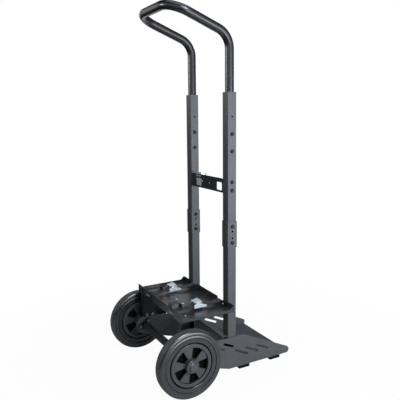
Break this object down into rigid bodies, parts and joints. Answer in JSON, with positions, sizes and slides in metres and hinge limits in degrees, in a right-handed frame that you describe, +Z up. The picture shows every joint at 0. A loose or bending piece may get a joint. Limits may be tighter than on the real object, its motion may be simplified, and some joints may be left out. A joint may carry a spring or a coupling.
{
  "type": "welding trolley",
  "caption": "Upright trolley with a bent tube handle, a strapped machine tray over a wheeled axle and a low plate bay for a gas cylinder.",
  "frame": {"origin": "on the floor, under the middle of the trolley's width and depth", "axes": "+Z up, +Y from the wheels and the handle's grip towards the cylinder bay, +X to the right of the person pushing"},
  "size_m": [0.4638, 0.537, 1.1815],
  "materials": {
    "frame_paint": "semi-matt charcoal powder coat",
    "tray_paint": "semi-gloss black powder coat",
    "handle_paint": "semi-gloss black powder coat",
    "axle_paint": "semi-gloss black paint",
    "axle_steel": "bright turned steel",
    "black_fasteners": "black oxide",
    "zinc_fasteners": "dull zinc plate",
    "buckle_zinc": "bluish bright zinc plate",
    "tyre_rubber": "black rubber with a soft sheen",
    "wheel_plastic": "dark grey moulded plastic",
    "cap_plastic": "grey moulded plastic",
    "bush_plastic": "natural nylon",
    "foot_rubber": "matt black rubber",
    "webbing": "dark woven polyester"
  },
  "bodies": {
    "frame": {"axle": "axle_steel", "axle_caps": "cap_plastic", "axle_flange_bolts": "zinc_fasteners", "axle_flange_left": "axle_paint", "axle_flange_nuts": "zinc_fasteners", "axle_flange_right": "axle_paint", "axle_spacers": "axle_paint", "axle_tube": "axle_paint", "base_plate": "frame_paint", "bracket_bolts": "zinc_fasteners", "bracket_nuts": "zinc_fasteners", "buckle_frame_left": "buckle_zinc", "buckle_frame_right": "buckle_zinc", "buckle_frame_upper": "buckle_zinc", "buckle_pins": "buckle_zinc", "buckle_rivets": "buckle_zinc", "cross_plate": "tray_paint", "cross_plate_bolts": "black_fasteners", "cross_plate_nuts": "black_fasteners", "front_strap_left": "webbing", "front_strap_right": "webbing", "handle_bolts": "black_fasteners", "handle_nuts": "black_fasteners", "joint_sleeve_left": "frame_paint", "joint_sleeve_right": "frame_paint", "lower_upright_left": "frame_paint", "lower_upright_right": "frame_paint", "rear_cross_beam": "frame_paint", "rear_strap_left": "webbing", "rear_strap_right": "webbing", "rubber_feet": "foot_rubber", "shelf_bolts": "zinc_fasteners", "shelf_nuts": "zinc_fasteners", "side_plate_left": "frame_paint", "side_plate_right": "frame_paint", "sleeve_bolts": "black_fasteners", "sleeve_nuts": "black_fasteners", "tray": "tray_paint", "tray_bolts": "black_fasteners", "tray_bracket_left": "tray_paint", "tray_bracket_right": "tray_paint", "tray_nuts": "black_fasteners", "upper_upright_left": "frame_paint", "upper_upright_right": "frame_paint", "wheel_washers": "axle_steel"},
    "wheel_left": {"tyre_left": "tyre_rubber", "rim_left": "wheel_plastic", "wheel_bush_left": "bush_plastic"},
    "wheel_right": {"tyre_right": "tyre_rubber", "rim_right": "wheel_plastic", "wheel_bush_right": "bush_plastic"},
    "handle": {"handle": "handle_paint"},
    "cam_left": {"cam_lever_left": "buckle_zinc"},
    "cam_right": {"cam_lever_right": "buckle_zinc"},
    "cam_upper": {"cam_lever_upper": "buckle_zinc"}
  },
  "joints": [
    {"name": "wheel_left_spin", "type": "hinge", "parent": "frame", "child": "wheel_left", "pos_m": [-0.201, -0.161, 0.1075], "axis": [1, 0, 0], "continuous": true},
    {"name": "wheel_right_spin", "type": "hinge", "parent": "frame", "child": "wheel_right", "pos_m": [0.201, -0.161, 0.1075], "axis": [1, 0, 0], "continuous": true},
    {"name": "handle_height", "type": "slide", "parent": "frame", "child": "handle", "axis": [0, 0, 1], "range_m": [0, 0.0534]},
    {"name": "cam_left_press", "type": "hinge", "parent": "frame", "child": "cam_left", "pos_m": [-0.092, -0.078, 0.247], "axis": [-1, 0, 0], "range_deg": [0, 23], "stiffness_Nm_per_rad": 0.15, "springref_deg": -20.05},
    {"name": "cam_right_press", "type": "hinge", "parent": "frame", "child": "cam_right", "pos_m": [0.092, -0.078, 0.247], "axis": [-1, 0, 0], "range_deg": [0, 23], "stiffness_Nm_per_rad": 0.15, "springref_deg": -20.05},
    {"name": "cam_upper_press", "type": "hinge", "parent": "frame", "child": "cam_upper", "pos_m": [-0.0515, 0.0285, 0.643], "axis": [-1, 0, 0], "range_deg": [0, 23], "stiffness_Nm_per_rad": 0.15, "springref_deg": -20.05}
  ]
}
